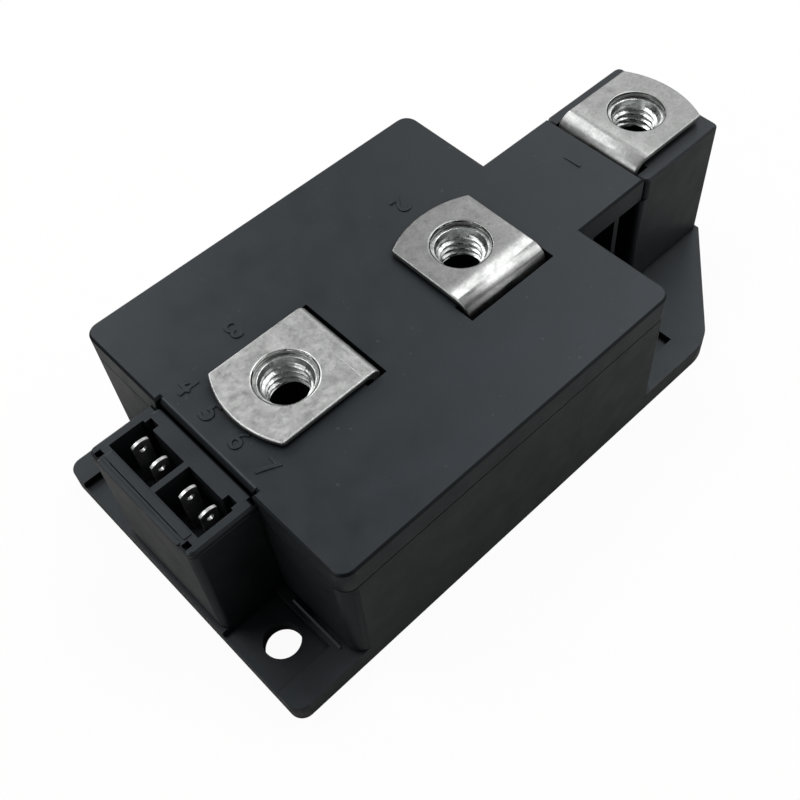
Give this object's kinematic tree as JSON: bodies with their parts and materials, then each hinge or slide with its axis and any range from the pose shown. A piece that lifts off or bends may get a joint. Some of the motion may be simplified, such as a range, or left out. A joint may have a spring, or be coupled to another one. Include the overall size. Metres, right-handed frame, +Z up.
{
  "type": "thyristor module",
  "caption": "Black plastic power module with screw terminals in a row, a gate socket at one end and a flange to bolt it to a heatsink.",
  "frame": {"origin": "middle of the underside, on the plane that meets the heatsink", "axes": "+X along the module from the gate socket to terminal 1, +Y to its left, +Z up"},
  "size_m": [0.117, 0.06, 0.0318],
  "materials": {
    "housing_plastic": "fine moulded grain",
    "lid_plastic": "fine moulded grain",
    "terminal_metal": "nickel-plated, stamped",
    "base_metal": "nickel-plated, milled flat",
    "zinc_steel": "zinc-plated",
    "spring_steel": "blued",
    "molybdenum": "lapped",
    "silicon": "polished",
    "ceramic": "ground",
    "lead_insulation": "smooth",
    "gel": "soft, clear"
  },
  "bodies": {
    "root": {"housing": "housing_plastic", "lid": "lid_plastic", "gate_socket": "housing_plastic", "base_plate": "base_metal", "terminal_1": "terminal_metal", "terminal_2": "terminal_metal", "terminal_3": "terminal_metal", "cathode_link": "terminal_metal", "gate_pin_4": "terminal_metal", "gate_pin_5": "terminal_metal", "gate_pin_6": "terminal_metal", "gate_pin_7": "terminal_metal", "terminal_nut_1": "zinc_steel", "terminal_nut_2": "zinc_steel", "terminal_nut_3": "zinc_steel", "ceramic_a": "ceramic", "molybdenum_disc_a": "molybdenum", "thyristor_wafer_a": "silicon", "cathode_disc_a": "molybdenum", "gate_contact_a": "terminal_metal", "insulator_a": "ceramic", "disc_springs_a": "spring_steel", "clamp_bar_a": "spring_steel", "ceramic_b": "ceramic", "molybdenum_disc_b": "molybdenum", "thyristor_wafer_b": "silicon", "cathode_disc_b": "molybdenum", "gate_contact_b": "terminal_metal", "insulator_b": "ceramic", "disc_springs_b": "spring_steel", "clamp_bar_b": "spring_steel", "clamp_screws": "zinc_steel", "gate_lead_4": "lead_insulation", "cathode_lead_5": "lead_insulation", "cathode_lead_6": "lead_insulation", "gate_lead_7": "lead_insulation", "silicone_gel": "gel"}
  },
  "joints": []
}
